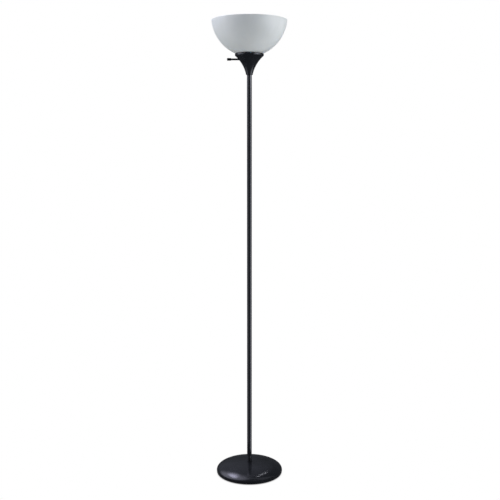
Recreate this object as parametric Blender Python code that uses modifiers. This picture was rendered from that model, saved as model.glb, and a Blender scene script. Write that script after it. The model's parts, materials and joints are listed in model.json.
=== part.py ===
"""Torchiere floor lamp: weighted dome base, screw-together pole, trumpet holder with a turn-knob
lamp socket, and a white bowl shade.

Metres, +Z up. The origin is on the floor, on the pole's axis. The switch knob is on the -X side
and the lead leaves the base on the +Y side.
"""

import math

import bmesh
import bpy
from mathutils import Vector

MM = 0.001
GAP = 0.3 * MM
MERGE_DISTANCE = 0.01 * MM
SHARP_ANGLE = math.radians(32)

# Segments in a full turn
FINE_TURN = 40
PLAIN_TURN = 24
SMALL_TURN = 16

# Base
BASE_RADIUS = 133.4 * MM
BASE_WIDEST_HEIGHT = 10.5 * MM
BASE_TOP_HEIGHT = 43.8 * MM
BASE_EDGE_HEIGHT = 1.5 * MM
BASE_EDGE_TUCK = 3.5 * MM
DOME_EXPONENT = 2.3
COVER_WALL = 1.0 * MM
WEIGHT_CLEARANCE = 3.0 * MM
WEIGHT_BOTTOM = 3.4 * MM
WEIGHT_FOOT_RADIUS = 125 * MM
NUT_RECESS_RADIUS = 28 * MM
NUT_RECESS_TOP = 30 * MM
PLATE_RADIUS = 128.8 * MM
PLATE_BOTTOM = 2.0 * MM
PLATE_TOP = 2.8 * MM
FOOT_COUNT = 4
FOOT_RADIUS = 11 * MM
FOOT_RING_RADIUS = 104 * MM

# Threaded pipe of the base and the head, and what runs on it
NIPPLE_RADIUS = 5.0 * MM
NIPPLE_BORE = 3.5 * MM
THREAD_CLEARANCE = 0.3 * MM
NUT_ACROSS_FLATS = 16 * MM
NUT_THICKNESS = 5 * MM

# Pole
TUBE_COUNT = 4
TUBE_RADIUS = 9.5 * MM
TUBE_WALL = 0.8 * MM
POLE_BOTTOM = BASE_TOP_HEIGHT + GAP
POLE_TOP = 1612 * MM
INSERT_RADIUS = TUBE_RADIUS - TUBE_WALL - GAP
INSERT_LENGTH = 28 * MM
STUD_BODY_LENGTH = 20 * MM
STUD_THREAD_LENGTH = 18 * MM

# Shade: an ellipse turned about the pole's axis, flattened underneath. The rim height is that of
# the outer edge: the wall leans, so its inner edge is 0.3 mm higher, at the lamp's full 1.8 m.
SHADE_RIM_HEIGHT = 1799.7 * MM
SHADE_WALL = 2.0 * MM
SHADE_HALF_WIDTH = 146.1 * MM
SHADE_DEPTH = 151.7 * MM
SHADE_CENTRE_HEIGHT = 1818 * MM
SHADE_FLAT_HEIGHT = 1672 * MM
SHADE_HOLE_RADIUS = 21 * MM

# Holder: a trumpet whose side is one arc from its foot to its rim
HOLDER_WALL = 2.0 * MM
HOLDER_BOTTOM = 1595.3 * MM
HOLDER_FOOT_HEIGHT = 1598 * MM
HOLDER_FOOT_RADIUS = 13.2 * MM
HOLDER_FLARE_RADIUS = 132 * MM
HOLDER_RIM_RADIUS = 55.5 * MM
HOLDER_BAND_BOTTOM = 1668.0 * MM
HOLDER_BAND_TOP = 1674.8 * MM
HOLDER_WEB = 3.0 * MM

# Lamp socket
SOCKET_RADIUS = 18.0 * MM
SOCKET_THREAD_RADIUS = 19.7 * MM
SOCKET_BOTTOM = 1640.3 * MM
SOCKET_SHOULDER = 1664 * MM
SOCKET_TOP = 1699 * MM
SOCKET_BORE = 14.6 * MM
CHAMBER_RADIUS = 15.8 * MM
PARTITION_BOTTOM = 1668 * MM
PARTITION_TOP = 1672 * MM
CAP_BOTTOM = 1622.6 * MM
SHELL_RADIUS = 13.5 * MM
SHELL_WALL = 0.5 * MM
SHELL_TOP = 1697.3 * MM

# Centre contact: a sprung leaf that hinges at its rivet
CONTACT_HINGE_X = 4.5 * MM
LEAF_THICKNESS = 0.5 * MM
LEAF_HEIGHT = PARTITION_TOP + GAP + LEAF_THICKNESS / 2

# Terminals
TERMINAL_THICKNESS = 0.8 * MM
TERMINAL_HALF_WIDTH = 3.6 * MM
TERMINAL_LEG_Y = 14.6 * MM
TERMINAL_FOOT_Y = 7.4 * MM
TERMINAL_FOOT_HEIGHT = 1646.6 * MM
TERMINAL_TOP = 1667.4 * MM
TERMINAL_SCREW_Y = 10.3 * MM
TERMINAL_SCREW_RADIUS = 1.5 * MM

# Switch: everything turns about a line along X; distances run outwards from the pole's axis
SWITCH_HEIGHT = 1654 * MM
SHAFT_RADIUS = 3.6 * MM
SHAFT_INNER_END = 3.3 * MM
SHAFT_OUTER_END = 75.7 * MM
KNOB_INNER_END = 70.0 * MM
KNOB_OUTER_END = 86.0 * MM
KNOB_RADIUS = 5.0 * MM
ROTOR_RADIUS = 5.5 * MM
ROTOR_OUTER_END = 9.0 * MM
ROTOR_INNER_END = -3.0 * MM
BRIDGE_INNER_END = -4.8 * MM

# Lead inside the lamp
LEAD_RADIUS = 2.6 * MM
LEAD_BASE_HEIGHT = 8.5 * MM
LEAD_BEND_RADIUS = 13 * MM
LEAD_TOP = 1637 * MM
CORE_RADIUS = 1.0 * MM

# name: colour, roughness, metallic
FINISHES = {
    "black_paint": ((0.013, 0.013, 0.019), 0.30, 0.0),
    "black_plastic": ((0.011, 0.011, 0.013), 0.38, 0.0),
    "white_plastic": ((0.72, 0.74, 0.77), 0.45, 0.0),
    "phenolic": ((0.020, 0.018, 0.017), 0.45, 0.0),
    "zinc_steel": ((0.55, 0.55, 0.53), 0.38, 1.0),
    "brass": ((0.78, 0.57, 0.24), 0.32, 1.0),
    "cement": ((0.32, 0.31, 0.29), 0.95, 0.0),
    "foam": ((0.020, 0.020, 0.020), 0.95, 0.0),
    "lead_vinyl": ((0.018, 0.018, 0.018), 0.50, 0.0),
    "core_white": ((0.80, 0.80, 0.78), 0.50, 0.0),
    "rotor_plastic": ((0.62, 0.60, 0.54), 0.50, 0.0),
}


# ---------------------------------------------------------------- tools


def reset_scene():
    for obj in list(bpy.data.objects):
        bpy.data.objects.remove(obj)
    for old in list(bpy.data.collections):
        bpy.data.collections.remove(old)


def new_collection(name):
    made = bpy.data.collections.new(name)
    bpy.context.scene.collection.children.link(made)
    return made


def finish(name, slot):
    """A material of its own for one part."""
    colour, roughness, metallic = FINISHES[slot]
    made = bpy.data.materials.new(f"{name}_{slot}")
    made.use_nodes = True
    shader = made.node_tree.nodes["Principled BSDF"]
    shader.inputs["Base Color"].default_value = (*colour, 1.0)
    shader.inputs["Roughness"].default_value = roughness
    shader.inputs["Metallic"].default_value = metallic
    made.diffuse_color = (*colour, 1.0)
    return made


def add_part(name, data, slot):
    obj = bpy.data.objects.new(name, data)
    data.materials.append(finish(name, slot))
    PARTS.objects.link(obj)
    obj.parent = LAMP
    return obj


def turn_modifier(obj, steps):
    turn = obj.modifiers.new("turn", "SCREW")
    turn.steps = steps
    turn.render_steps = steps
    turn.use_merge_vertices = True
    turn.merge_threshold = MERGE_DISTANCE


def outline_mesh(name, outline, closed):
    """The outline's (radius, height) points as a wire at +X."""
    points = [(radius, 0.0, height) for radius, height in outline]
    edges = [(i, i + 1) for i in range(len(points) - 1)]
    if closed:
        edges.append((len(points) - 1, 0))
    mesh = bpy.data.meshes.new(name)
    mesh.from_pydata(points, edges, [])
    return mesh


def turned(name, outline, slot, steps=PLAIN_TURN, closed=True):
    """A round part about Z. The outline runs down its outer side, then up its inner side."""
    obj = add_part(name, outline_mesh(name, outline, closed), slot)
    turn_modifier(obj, steps)
    return obj


def turned_shell(name, outline, wall, slot, steps):
    """A thin turned skin; the outline is its outer side, and the wall grows inwards."""
    obj = turned(name, outline, slot, steps, closed=False)
    solidify = obj.modifiers.new("wall", "SOLIDIFY")
    solidify.thickness = wall
    solidify.offset = -1
    solidify.use_even_offset = True
    solidify.use_quality_normals = True
    return obj


def ring(inner, outer, bottom, top):
    """The outline of a plain ring or tube."""
    return [(outer, top), (outer, bottom), (inner, bottom), (inner, top)]


def bevelled_ring(inner, outer, bottom, top, bevel):
    """The outline of a ring whose outer corners are chamfered."""
    return [
        (outer - bevel, top),
        (outer, top - bevel),
        (outer, bottom + bevel),
        (outer - bevel, bottom),
        (inner, bottom),
        (inner, top),
    ]


def arc(centre, radii, start, end, count):
    """Points on an ellipse's arc; the angles are in degrees, counted from +radius towards +Z."""
    points = []
    for i in range(count + 1):
        angle = math.radians(start + (end - start) * i / count)
        points.append(
            (centre[0] + radii[0] * math.cos(angle), centre[1] + radii[1] * math.sin(angle))
        )
    return points


def cutter(name, data, location, rotation):
    obj = bpy.data.objects.new(name, data)
    obj.location = location
    obj.rotation_euler = rotation
    obj.hide_render = True
    obj.display_type = "WIRE"
    CUTTERS.objects.link(obj)
    return obj


def cut(part, tool):
    boolean = part.modifiers.new("cut", "BOOLEAN")
    boolean.operation = "DIFFERENCE"
    boolean.solver = "EXACT"
    boolean.object = tool


def cylinder_mesh(name, radius, length, segments):
    mesh = bpy.data.meshes.new(name)
    shape = bmesh.new()
    bmesh.ops.create_cone(
        shape,
        cap_ends=True,
        segments=segments,
        radius1=radius,
        radius2=radius,
        depth=length,
    )
    shape.to_mesh(mesh)
    shape.free()
    return mesh


def box_mesh(name, size):
    mesh = bpy.data.meshes.new(name)
    shape = bmesh.new()
    bmesh.ops.create_cube(shape, size=1.0)
    bmesh.ops.scale(shape, vec=size, verts=shape.verts)
    shape.to_mesh(mesh)
    shape.free()
    return mesh


def drill(part, name, radius, length, centre, rotation=(0, 0, 0), segments=SMALL_TURN):
    """A round hole, centred on a point; without a rotation it runs along Z."""
    cut(part, cutter(name, cylinder_mesh(name, radius, length, segments), centre, rotation))


def strip(name, path, half_width, thickness, slot):
    """A bent metal strip: the path is its middle line, and half_width points to one side."""
    side = Vector(half_width)
    shape = bmesh.new()
    verts = [shape.verts.new(Vector(point) - side) for point in path]
    edges = [shape.edges.new(pair) for pair in zip(verts, verts[1:])]
    swept = bmesh.ops.extrude_edge_only(shape, edges=edges)
    far = [item for item in swept["geom"] if isinstance(item, bmesh.types.BMVert)]
    bmesh.ops.translate(shape, verts=far, vec=side * 2)
    mesh = bpy.data.meshes.new(name)
    shape.to_mesh(mesh)
    shape.free()
    obj = add_part(name, mesh, slot)
    solidify = obj.modifiers.new("sheet", "SOLIDIFY")
    solidify.thickness = thickness
    solidify.offset = 0
    solidify.use_even_offset = True
    return obj


def wire(name, path, radius, slot):
    """A round lead along the path's points."""
    curve = bpy.data.curves.new(name, "CURVE")
    curve.dimensions = "3D"
    curve.bevel_depth = radius
    curve.bevel_resolution = 2
    curve.use_fill_caps = True
    line = curve.splines.new("POLY")
    line.points.add(len(path) - 1)
    for point, place in zip(line.points, path):
        point.co = (*place, 1.0)
    return add_part(name, curve, slot)


def keep_shape(obj):
    """Bakes the modifiers into the mesh and shades it smooth, apart from its real edges."""
    if obj.type != "MESH":
        return
    evaluated = obj.evaluated_get(bpy.context.evaluated_depsgraph_get())
    mesh = bpy.data.meshes.new_from_object(evaluated)
    mesh.name = obj.name
    obj.modifiers.clear()
    obj.data = mesh
    mesh.shade_smooth()
    mesh.set_sharp_from_angle(angle=SHARP_ANGLE)


# ---------------------------------------------------------------- base


def dome_outline(inset, stop_radius, count):
    """The dome's side from near its axis down to its widest line, inset from the outer skin."""
    width = BASE_RADIUS - inset
    height = BASE_TOP_HEIGHT - BASE_WIDEST_HEIGHT - inset
    points = []
    for i in range(count + 1):
        angle = math.radians(90 * (1 - i / count))
        radius = width * max(math.cos(angle), 0.0) ** (2 / DOME_EXPONENT)
        rise = height * math.sin(angle) ** (2 / DOME_EXPONENT)
        if radius > stop_radius:
            points.append((radius, BASE_WIDEST_HEIGHT + rise))
    return [(stop_radius, BASE_WIDEST_HEIGHT + height)] + points


def make_base_cover():
    tuck = arc(
        (BASE_RADIUS - BASE_EDGE_TUCK, BASE_WIDEST_HEIGHT),
        (BASE_EDGE_TUCK, BASE_WIDEST_HEIGHT - BASE_EDGE_HEIGHT),
        0,
        -90,
        3,
    )
    outline = dome_outline(0.0, NIPPLE_RADIUS + THREAD_CLEARANCE, 8) + tuck[1:]
    cover = turned_shell("base_cover", outline, COVER_WALL, "black_paint", FINE_TURN)
    hole_centre = (0, BASE_RADIUS, LEAD_BASE_HEIGHT)
    drill(cover, "inlet_hole", 4.3 * MM, 12 * MM, hole_centre, (math.radians(90), 0, 0))


def make_base_weight():
    hole = NIPPLE_RADIUS + 1 * MM
    outline = dome_outline(COVER_WALL + WEIGHT_CLEARANCE, hole, 7)
    outline += [
        (WEIGHT_FOOT_RADIUS, WEIGHT_BOTTOM),
        (NUT_RECESS_RADIUS, WEIGHT_BOTTOM),
        (NUT_RECESS_RADIUS, NUT_RECESS_TOP),
        (hole, NUT_RECESS_TOP),
    ]
    weight = turned("base_weight", outline, "cement", FINE_TURN)
    channel_top = 13 * MM
    channel_width = 9.4 * MM
    size = (channel_width, BASE_RADIUS, channel_top)
    centre = (0, BASE_RADIUS / 2 + NUT_RECESS_RADIUS / 2, channel_top / 2)
    cut(weight, cutter("lead_channel", box_mesh("lead_channel", size), centre, (0, 0, 0)))


def make_base_plate():
    outline = ring(NUT_RECESS_RADIUS, PLATE_RADIUS, PLATE_BOTTOM, PLATE_TOP)
    turned("base_plate", outline, "zinc_steel", FINE_TURN)


def make_feet():
    top = PLATE_BOTTOM - GAP
    for i in range(FOOT_COUNT):
        angle = math.radians(45 + 360 * i / FOOT_COUNT)
        pad = cylinder_mesh(f"foot_pad_{i + 1}", FOOT_RADIUS, top, SMALL_TURN)
        foot = add_part(f"foot_pad_{i + 1}", pad, "foam")
        foot.location = (
            FOOT_RING_RADIUS * math.cos(angle),
            FOOT_RING_RADIUS * math.sin(angle),
            top / 2,
        )


def make_cord_bushing():
    """Turned about Y: a sleeve through the cover with a flange outside."""
    flange_start = BASE_RADIUS + GAP
    flange_end = flange_start + 2 * MM
    sleeve_end = BASE_RADIUS - 9 * MM
    bore = LEAD_RADIUS + GAP
    outline = [
        (5.2 * MM, flange_end),
        (6.0 * MM, flange_end - 0.8 * MM),
        (6.0 * MM, flange_start),
        (4.0 * MM, flange_start),
        (4.0 * MM, sleeve_end),
        (bore, sleeve_end),
        (bore, flange_end),
    ]
    bushing = turned("cord_bushing", outline, "black_plastic", SMALL_TURN)
    bushing.location = (0, 0, LEAD_BASE_HEIGHT)
    bushing.rotation_euler = (math.radians(-90), 0, 0)


def make_hex_nut(name, bottom):
    corner_radius = NUT_ACROSS_FLATS / math.sqrt(3)
    nut = add_part(name, cylinder_mesh(name, corner_radius, NUT_THICKNESS, 6), "zinc_steel")
    nut.location = (0, 0, bottom + NUT_THICKNESS / 2)
    hole = NIPPLE_RADIUS + THREAD_CLEARANCE
    drill(nut, f"{name}_thread", hole, 2 * NUT_THICKNESS, nut.location)


def make_base_fasteners():
    """From the recess's ceiling down: washer, lock washer, nut."""
    hole = NIPPLE_RADIUS + THREAD_CLEARANCE
    washer_top = NUT_RECESS_TOP - GAP
    washer_bottom = washer_top - 1.5 * MM
    lock_top = washer_bottom - GAP
    lock_bottom = lock_top - 1.2 * MM
    outline = ring(hole, 16 * MM, washer_bottom, washer_top)
    turned("base_washer", outline, "zinc_steel", SMALL_TURN)
    outline = ring(hole, 9.2 * MM, lock_bottom, lock_top)
    turned("base_lock_washer", outline, "zinc_steel", SMALL_TURN)
    make_hex_nut("base_nut", lock_bottom - GAP - NUT_THICKNESS)
    outline = bevelled_ring(NIPPLE_BORE, NIPPLE_RADIUS, 19.5 * MM, 66 * MM, 0.5 * MM)
    turned("base_nipple", outline, "zinc_steel", SMALL_TURN)


# ---------------------------------------------------------------- pole


def tube_span(index):
    """The lowest and highest level of one pole tube, counted from 0 at the base."""
    pitch = (POLE_TOP - POLE_BOTTOM + GAP) / TUBE_COUNT
    bottom = POLE_BOTTOM + pitch * index
    return bottom, bottom + pitch - GAP


def make_tubes():
    for index in range(TUBE_COUNT):
        bottom, top = tube_span(index)
        outline = ring(TUBE_RADIUS - TUBE_WALL, TUBE_RADIUS, bottom, top)
        turned(f"pole_tube_{index + 1}", outline, "black_paint", PLAIN_TURN)


def make_bush(name, bottom, top):
    """A threaded insert that is pressed into a tube's end."""
    outline = ring(NIPPLE_RADIUS + THREAD_CLEARANCE, INSERT_RADIUS, bottom, top)
    turned(name, outline, "zinc_steel", SMALL_TURN)


def make_joint_stud(index):
    """The male half of a pole joint, in the bottom of the tube above the joint."""
    seam, _ = tube_span(index)
    thread_end = seam - STUD_THREAD_LENGTH
    outline = [
        (INSERT_RADIUS, seam + STUD_BODY_LENGTH),
        (INSERT_RADIUS, seam),
        (NIPPLE_RADIUS, seam),
        (NIPPLE_RADIUS, thread_end + 0.6 * MM),
        (NIPPLE_RADIUS - 0.6 * MM, thread_end),
        (NIPPLE_BORE, thread_end),
        (NIPPLE_BORE, seam + STUD_BODY_LENGTH),
    ]
    turned(f"joint_stud_{index}", outline, "zinc_steel", SMALL_TURN)


def make_pole():
    make_tubes()
    make_bush("pole_bush_bottom", POLE_BOTTOM + GAP, POLE_BOTTOM + INSERT_LENGTH)
    for joint in range(1, TUBE_COUNT):
        _, seam = tube_span(joint - 1)
        make_bush(f"joint_sleeve_{joint}", seam - INSERT_LENGTH, seam)
        make_joint_stud(joint)
    make_bush("pole_bush_top", POLE_TOP - INSERT_LENGTH, POLE_TOP - GAP)


# ---------------------------------------------------------------- holder


def flare_centre():
    """The centre of the arc that the trumpet's side follows, out in the air beside the lamp."""
    foot = Vector((HOLDER_FOOT_RADIUS, HOLDER_FOOT_HEIGHT))
    rim = Vector((HOLDER_RIM_RADIUS, HOLDER_BAND_BOTTOM))
    chord = rim - foot
    outwards = Vector((chord.y, -chord.x)).normalized()
    return (foot + rim) / 2 + outwards * math.sqrt(HOLDER_FLARE_RADIUS**2 - (chord.length / 2) ** 2)


def flare_side(distance, top, bottom, count):
    """Points at that distance from the flare's centre, at even heights from top to bottom."""
    centre = flare_centre()
    points = []
    for i in range(count + 1):
        height = top + (bottom - top) * i / count
        reach = math.sqrt(distance**2 - (height - centre.y) ** 2)
        points.append((centre.x - reach, height))
    return points


def make_shade_holder():
    sleeve = TUBE_RADIUS + GAP
    web_bottom = POLE_TOP + GAP
    web_top = web_bottom + HOLDER_WEB
    hole = NIPPLE_RADIUS + THREAD_CLEARANCE
    inner_rim = HOLDER_RIM_RADIUS - HOLDER_WALL
    outer_side = flare_side(HOLDER_FLARE_RADIUS, HOLDER_BAND_BOTTOM, HOLDER_FOOT_HEIGHT, 7)
    inner_top = HOLDER_BAND_BOTTOM + 0.8 * MM
    inner_side = flare_side(HOLDER_FLARE_RADIUS + HOLDER_WALL, web_top, inner_top, 6)
    outline = [
        (inner_rim + 0.4 * MM, HOLDER_BAND_TOP),
        (HOLDER_RIM_RADIUS - 0.5 * MM, HOLDER_BAND_TOP),
        (HOLDER_RIM_RADIUS, HOLDER_BAND_TOP - 0.5 * MM),
    ]
    outline += outer_side
    outline += [
        (HOLDER_FOOT_RADIUS - 0.5 * MM, HOLDER_BOTTOM + 0.9 * MM),
        (HOLDER_FOOT_RADIUS - 1.4 * MM, HOLDER_BOTTOM),
        (sleeve, HOLDER_BOTTOM),
        (sleeve, web_bottom),
        (hole, web_bottom),
        (hole, web_top),
    ]
    outline += inner_side
    outline.append((inner_rim, inner_top + 1.2 * MM))
    holder = turned("shade_holder", outline, "black_plastic", FINE_TURN)
    centre = (-40 * MM, 0, SWITCH_HEIGHT)
    drill(holder, "shaft_hole", SHAFT_RADIUS + 0.8 * MM, 30 * MM, centre, (0, math.radians(90), 0))


def make_head_fasteners():
    hole = NIPPLE_RADIUS + THREAD_CLEARANCE
    web_top = POLE_TOP + GAP + HOLDER_WEB
    washer_top = web_top + GAP + 1.0 * MM
    turned("holder_washer", ring(hole, 9 * MM, web_top + GAP, washer_top), "zinc_steel", SMALL_TURN)
    make_hex_nut("holder_nut", washer_top + GAP)
    outline = bevelled_ring(NIPPLE_BORE, NIPPLE_RADIUS, 1592 * MM, 1635 * MM, 0.5 * MM)
    turned("top_nipple", outline, "zinc_steel", SMALL_TURN)


# ---------------------------------------------------------------- socket


def make_socket_cap():
    """A cup whose hub screws on to the top nipple."""
    hub = NIPPLE_RADIUS + THREAD_CLEARANCE
    rounding = arc((SOCKET_RADIUS - 5 * MM, CAP_BOTTOM + 5 * MM), (5 * MM, 5 * MM), 0, -90, 3)
    cap_top = SOCKET_BOTTOM - GAP
    inner = SOCKET_RADIUS - 2 * MM
    floor = CAP_BOTTOM + 2.2 * MM
    hub_top = CAP_BOTTOM + 9 * MM
    outline = [(SOCKET_RADIUS, cap_top)] + rounding
    outline += [
        (hub, CAP_BOTTOM),
        (hub, hub_top),
        (hub + 2.5 * MM, hub_top),
        (hub + 2.5 * MM, floor),
        (inner - 3 * MM, floor),
        (inner, floor + 3 * MM),
        (inner, cap_top),
    ]
    turned("socket_cap", outline, "phenolic", PLAIN_TURN)


def make_socket_body():
    outline = [
        (SOCKET_THREAD_RADIUS - 1.2 * MM, SOCKET_TOP),
        (SOCKET_THREAD_RADIUS, SOCKET_TOP - 1.2 * MM),
        (SOCKET_THREAD_RADIUS, SOCKET_SHOULDER + 3 * MM),
        (SOCKET_RADIUS, SOCKET_SHOULDER),
        (SOCKET_RADIUS, SOCKET_BOTTOM),
        (CHAMBER_RADIUS, SOCKET_BOTTOM),
        (CHAMBER_RADIUS, PARTITION_BOTTOM),
        (0, PARTITION_BOTTOM),
        (0, PARTITION_TOP),
        (SOCKET_BORE, PARTITION_TOP),
        (SOCKET_BORE, SOCKET_TOP - 0.8 * MM),
        (SOCKET_BORE + 0.8 * MM, SOCKET_TOP),
    ]
    body = turned("socket_body", reorder_open(outline), "phenolic", PLAIN_TURN, closed=False)
    centre = (-SOCKET_RADIUS, 0, SWITCH_HEIGHT)
    drill(body, "body_hole", SHAFT_RADIUS + 0.6 * MM, 12 * MM, centre, (0, math.radians(90), 0))
    rivet_centre = (CONTACT_HINGE_X, 0, PARTITION_TOP)
    drill(body, "rivet_hole", 1.3 * MM, 20 * MM, rivet_centre)


def reorder_open(outline):
    """Turns a closed outline that touches the axis into an open one from axis to axis.

    It still runs down the outer side: it starts at the upper axis point and ends at the lower.
    """
    on_axis = [i for i, point in enumerate(outline) if point[0] == 0]
    lower, upper = on_axis
    return outline[upper:] + outline[: lower + 1]


def make_screw_shell():
    """The thin metal cup that the bulb screws into, with a rolled thread."""
    bottom = PARTITION_TOP + GAP
    thread_bottom = bottom + 3 * MM
    pitch = 3.6 * MM
    waves = 5
    depth = 0.35 * MM
    side = []
    for i in range(waves * 2 + 1):
        height = thread_bottom + pitch * i / 2
        side.append((SHELL_RADIUS + (depth if i % 2 else -depth), height))
    outline = [(SHELL_RADIUS + 0.2 * MM, SHELL_TOP)]
    outline += list(reversed(side))
    outline += [(SHELL_RADIUS, bottom), (7.6 * MM, bottom)]
    turned_shell("screw_shell", outline, SHELL_WALL, "brass", PLAIN_TURN)


def make_shade_ring():
    """A threaded ring with a flange that bears on the shade's flat bottom."""
    hole = SOCKET_THREAD_RADIUS + THREAD_CLEARANCE
    bottom = SHADE_FLAT_HEIGHT + SHADE_WALL + GAP
    outline = [
        (24 * MM, bottom + 10 * MM),
        (24.8 * MM, bottom + 9.2 * MM),
        (24.8 * MM, bottom + 3 * MM),
        (28 * MM, bottom + 3 * MM),
        (28.5 * MM, bottom + 2.5 * MM),
        (28.5 * MM, bottom),
        (hole, bottom),
        (hole, bottom + 10 * MM),
    ]
    turned("shade_ring", outline, "black_plastic", PLAIN_TURN)


def make_centre_contact():
    """A sprung leaf. Its origin is on the hinge line, through the rivet."""
    flat_end = -1.7 * MM
    path = [
        (2.2 * MM, 0, 0),
        (flat_end, 0, 0),
        (-6.0 * MM, 0, 4.2 * MM),
        (-8.0 * MM, 0, 4.4 * MM),
    ]
    leaf = strip("centre_contact", path, (0, 2.3 * MM, 0), LEAF_THICKNESS, "brass")
    leaf.location = (CONTACT_HINGE_X, 0, LEAF_HEIGHT)
    drill(leaf, "leaf_hole", 1.5 * MM, 4 * MM, leaf.location, segments=12)


def make_contact_rivet():
    head_bottom = LEAF_HEIGHT + LEAF_THICKNESS / 2 + 0.4 * MM
    foot_top = PARTITION_BOTTOM - 1.1 * MM
    outline = [
        (0, head_bottom + 0.7 * MM),
        (1.2 * MM, head_bottom + 0.7 * MM),
        (2.0 * MM, head_bottom),
        (1.0 * MM, head_bottom),
        (1.0 * MM, foot_top),
        (2.0 * MM, foot_top),
        (1.4 * MM, foot_top - 0.8 * MM),
        (0, foot_top - 0.8 * MM),
    ]
    rivet = turned("contact_rivet", outline, "brass", 12, closed=False)
    rivet.location = (CONTACT_HINGE_X, 0, 0)


def make_contact_finger():
    """From the rivet down to the face of the switch's bridge."""
    top = PARTITION_BOTTOM - 0.55 * MM
    face = -BRIDGE_INNER_END + 0.65 * MM
    path = [
        (2.4 * MM, 0, top),
        (7.6 * MM, 0, top),
        (7.6 * MM, 0, 1661 * MM),
        (face, 0, 1657 * MM),
        (face, 0, 1652 * MM),
    ]
    finger = strip("contact_finger", path, (0, 1.8 * MM, 0), 0.4 * MM, "brass")
    drill(finger, "finger_hole", 1.3 * MM, 3 * MM, (CONTACT_HINGE_X, 0, top), segments=12)


def make_terminal(label, side):
    """side is -1 or 1: the strip stands at the chamber's wall on that side of Y."""
    path = [
        (0, side * TERMINAL_FOOT_Y, TERMINAL_FOOT_HEIGHT),
        (0, side * TERMINAL_LEG_Y, TERMINAL_FOOT_HEIGHT),
        (0, side * TERMINAL_LEG_Y, TERMINAL_TOP),
    ]
    half_width = (TERMINAL_HALF_WIDTH, 0, 0)
    terminal = strip(f"{label}_terminal", path, half_width, TERMINAL_THICKNESS, "brass")
    screw_centre = (0, side * TERMINAL_SCREW_Y, TERMINAL_FOOT_HEIGHT)
    hole = TERMINAL_SCREW_RADIUS + GAP
    drill(terminal, f"{label}_hole", hole, 4 * MM, screw_centre, segments=12)
    make_terminal_screw(label, screw_centre)


def make_terminal_screw(label, centre):
    """Head down, shank up through the terminal's foot."""
    head_top = 1643.4 * MM
    head_bottom = 1641.2 * MM
    outline = [
        (0, 1651.5 * MM),
        (TERMINAL_SCREW_RADIUS, 1651.5 * MM),
        (TERMINAL_SCREW_RADIUS, head_top),
        (3.0 * MM, head_top),
        (3.0 * MM, head_bottom + 0.8 * MM),
        (2.2 * MM, head_bottom),
        (0, head_bottom),
    ]
    screw = turned(f"{label}_screw", outline, "brass", 16, closed=False)
    screw.location = (centre[0], centre[1], 0)
    slot_name = f"{label}_slot"
    slot_size = (0.8 * MM, 8 * MM, 2 * MM)
    place = (centre[0], centre[1], head_bottom)
    cut(screw, cutter(slot_name, box_mesh(slot_name, slot_size), place, (0, 0, 0)))


def make_switch_wiper():
    """A leaf from the live terminal to the rim of the switch's bridge."""
    height = SWITCH_HEIGHT + ROTOR_RADIUS + GAP + 0.25 * MM
    along = (ROTOR_INNER_END + BRIDGE_INNER_END - GAP) / -2
    start = -(TERMINAL_LEG_Y - TERMINAL_THICKNESS / 2 - GAP)
    path = [(along, start, height + 1.2 * MM), (along, -6 * MM, height + 1.2 * MM)]
    path += [(along, -3 * MM, height), (along, 1.5 * MM, height)]
    strip("switch_wiper", path, (0.65 * MM, 0, 0), 0.4 * MM, "brass")


def make_socket():
    make_socket_cap()
    make_socket_body()
    make_screw_shell()
    make_centre_contact()
    make_contact_rivet()
    make_contact_finger()
    make_terminal("live", -1)
    make_terminal("neutral", 1)
    make_switch_wiper()


# ---------------------------------------------------------------- switch


def switch_part(name, outline, slot, steps, closed):
    """A turned part on the switch's axis: its heights are distances towards -X."""
    part = turned(name, outline, slot, steps, closed)
    part.rotation_euler = (0, math.radians(-90), 0)
    part.parent = SWITCH_AXIS
    return part


def knob_outline():
    """A blind-bored knob: a waist at the shaft and a rounded outer end."""
    bore = SHAFT_RADIUS + GAP
    bore_end = SHAFT_OUTER_END + GAP
    nose = arc((KNOB_RADIUS - 2 * MM, KNOB_OUTER_END - 2 * MM), (2 * MM, 2 * MM), 90, 0, 3)
    return (
        [(0, KNOB_OUTER_END)]
        + nose
        + [
            (KNOB_RADIUS, KNOB_INNER_END + 4 * MM),
            (KNOB_RADIUS - 0.6 * MM, KNOB_INNER_END),
            (bore, KNOB_INNER_END),
            (bore, bore_end),
            (0, bore_end),
        ]
    )


def make_switch():
    switch_part("switch_knob", knob_outline(), "black_plastic", 24, closed=False)
    shaft = [
        (0, SHAFT_OUTER_END),
        (SHAFT_RADIUS, SHAFT_OUTER_END),
        (SHAFT_RADIUS, SHAFT_INNER_END),
        (0, SHAFT_INNER_END),
    ]
    switch_part("switch_shaft", shaft, "black_plastic", SMALL_TURN, closed=False)
    bore = SHAFT_RADIUS + GAP
    rotor = [
        (ROTOR_RADIUS, ROTOR_OUTER_END),
        (ROTOR_RADIUS, ROTOR_INNER_END),
        (0, ROTOR_INNER_END),
        (0, SHAFT_INNER_END - GAP),
        (bore, SHAFT_INNER_END - GAP),
        (bore, ROTOR_OUTER_END),
    ]
    switch_part("switch_rotor", reorder_open(rotor), "rotor_plastic", SMALL_TURN, closed=False)
    bridge_top = ROTOR_INNER_END - GAP
    bridge = [
        (0, bridge_top),
        (ROTOR_RADIUS, bridge_top),
        (ROTOR_RADIUS, BRIDGE_INNER_END),
        (0, BRIDGE_INNER_END),
    ]
    switch_part("rotor_bridge", bridge, "brass", SMALL_TURN, closed=False)


# ---------------------------------------------------------------- shade


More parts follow.
